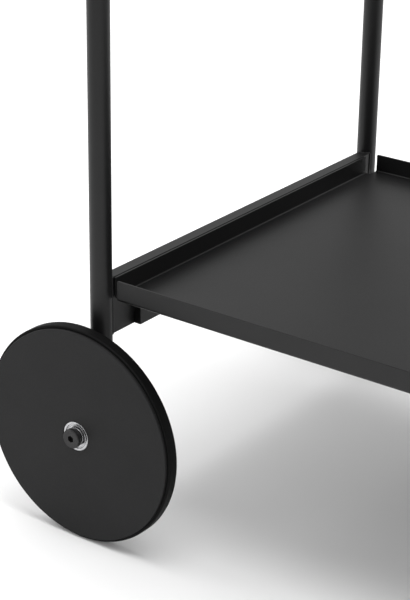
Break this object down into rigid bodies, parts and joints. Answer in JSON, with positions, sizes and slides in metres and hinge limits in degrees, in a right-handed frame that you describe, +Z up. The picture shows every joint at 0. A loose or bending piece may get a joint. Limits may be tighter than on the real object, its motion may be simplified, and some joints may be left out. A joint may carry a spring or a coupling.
{
  "type": "bar cart",
  "caption": "Two-tier bar cart of bent steel tube and folded sheet trays, rolling on large disc wheels at one end and standing on feet at the other.",
  "frame": {"origin": "middle of the cart's box in plan, on the floor that the tyres and feet stand on", "axes": "+X along the cart from the wheeled end to the standing end, +Y from front to rear along the axles, +Z up"},
  "size_m": [0.758, 0.5336, 0.8],
  "materials": {
    "powder_coat": "fine matt black powder coat",
    "wheel_disc": "satin black lacquer, slightly lighter than the frame",
    "tyre_rubber": "smooth matt black rubber",
    "bearing_steel": "ground bearing steel",
    "black_steel": "black oxide",
    "zinc_steel": "zinc plate",
    "black_plastic": "moulded black polyamide"
  },
  "bodies": {
    "frame": {"left_hoop": "powder_coat", "left_leg_front": "powder_coat", "left_leg_rear": "powder_coat", "left_rail_lower": "powder_coat", "left_rail_upper": "powder_coat", "right_hoop": "powder_coat", "right_leg_front": "powder_coat", "right_leg_rear": "powder_coat", "right_rail_lower": "powder_coat", "right_rail_upper": "powder_coat", "lower_tray": "powder_coat", "left_bearer_lower": "powder_coat", "right_bearer_lower": "powder_coat", "lower_tray_screw_1": "zinc_steel", "lower_tray_screw_2": "zinc_steel", "lower_tray_screw_3": "zinc_steel", "lower_tray_screw_4": "zinc_steel", "upper_tray": "powder_coat", "left_bearer_upper": "powder_coat", "right_bearer_upper": "powder_coat", "upper_tray_screw_1": "zinc_steel", "upper_tray_screw_2": "zinc_steel", "upper_tray_screw_3": "zinc_steel", "upper_tray_screw_4": "zinc_steel", "bearing_inner_ring_front": "bearing_steel", "axle_bolt_front": "black_steel", "axle_spacer_front": "black_steel", "axle_bush_front": "zinc_steel", "left_leg_plug_front": "black_plastic", "right_leg_insert_front": "black_plastic", "right_foot_front": "black_plastic", "bearing_inner_ring_rear": "bearing_steel", "axle_bolt_rear": "black_steel", "axle_spacer_rear": "black_steel", "axle_bush_rear": "zinc_steel", "left_leg_plug_rear": "black_plastic", "right_leg_insert_rear": "black_plastic", "right_foot_rear": "black_plastic"},
    "wheel_front": {"wheel_disc_front": "wheel_disc", "tyre_front": "tyre_rubber", "bearing_outer_ring_front": "bearing_steel", "bearing_shield_out_front": "bearing_steel", "bearing_shield_in_front": "bearing_steel", "bearing_balls_front": "bearing_steel"},
    "wheel_rear": {"wheel_disc_rear": "wheel_disc", "tyre_rear": "tyre_rubber", "bearing_outer_ring_rear": "bearing_steel", "bearing_shield_out_rear": "bearing_steel", "bearing_shield_in_rear": "bearing_steel", "bearing_balls_rear": "bearing_steel"}
  },
  "joints": [
    {"name": "wheel_front_spin", "type": "hinge", "parent": "frame", "child": "wheel_front", "pos_m": [-0.274, -0.2555, 0.105], "axis": [0, 1, 0], "continuous": true},
    {"name": "wheel_rear_spin", "type": "hinge", "parent": "frame", "child": "wheel_rear", "pos_m": [-0.274, 0.2555, 0.105], "axis": [0, 1, 0], "continuous": true}
  ]
}
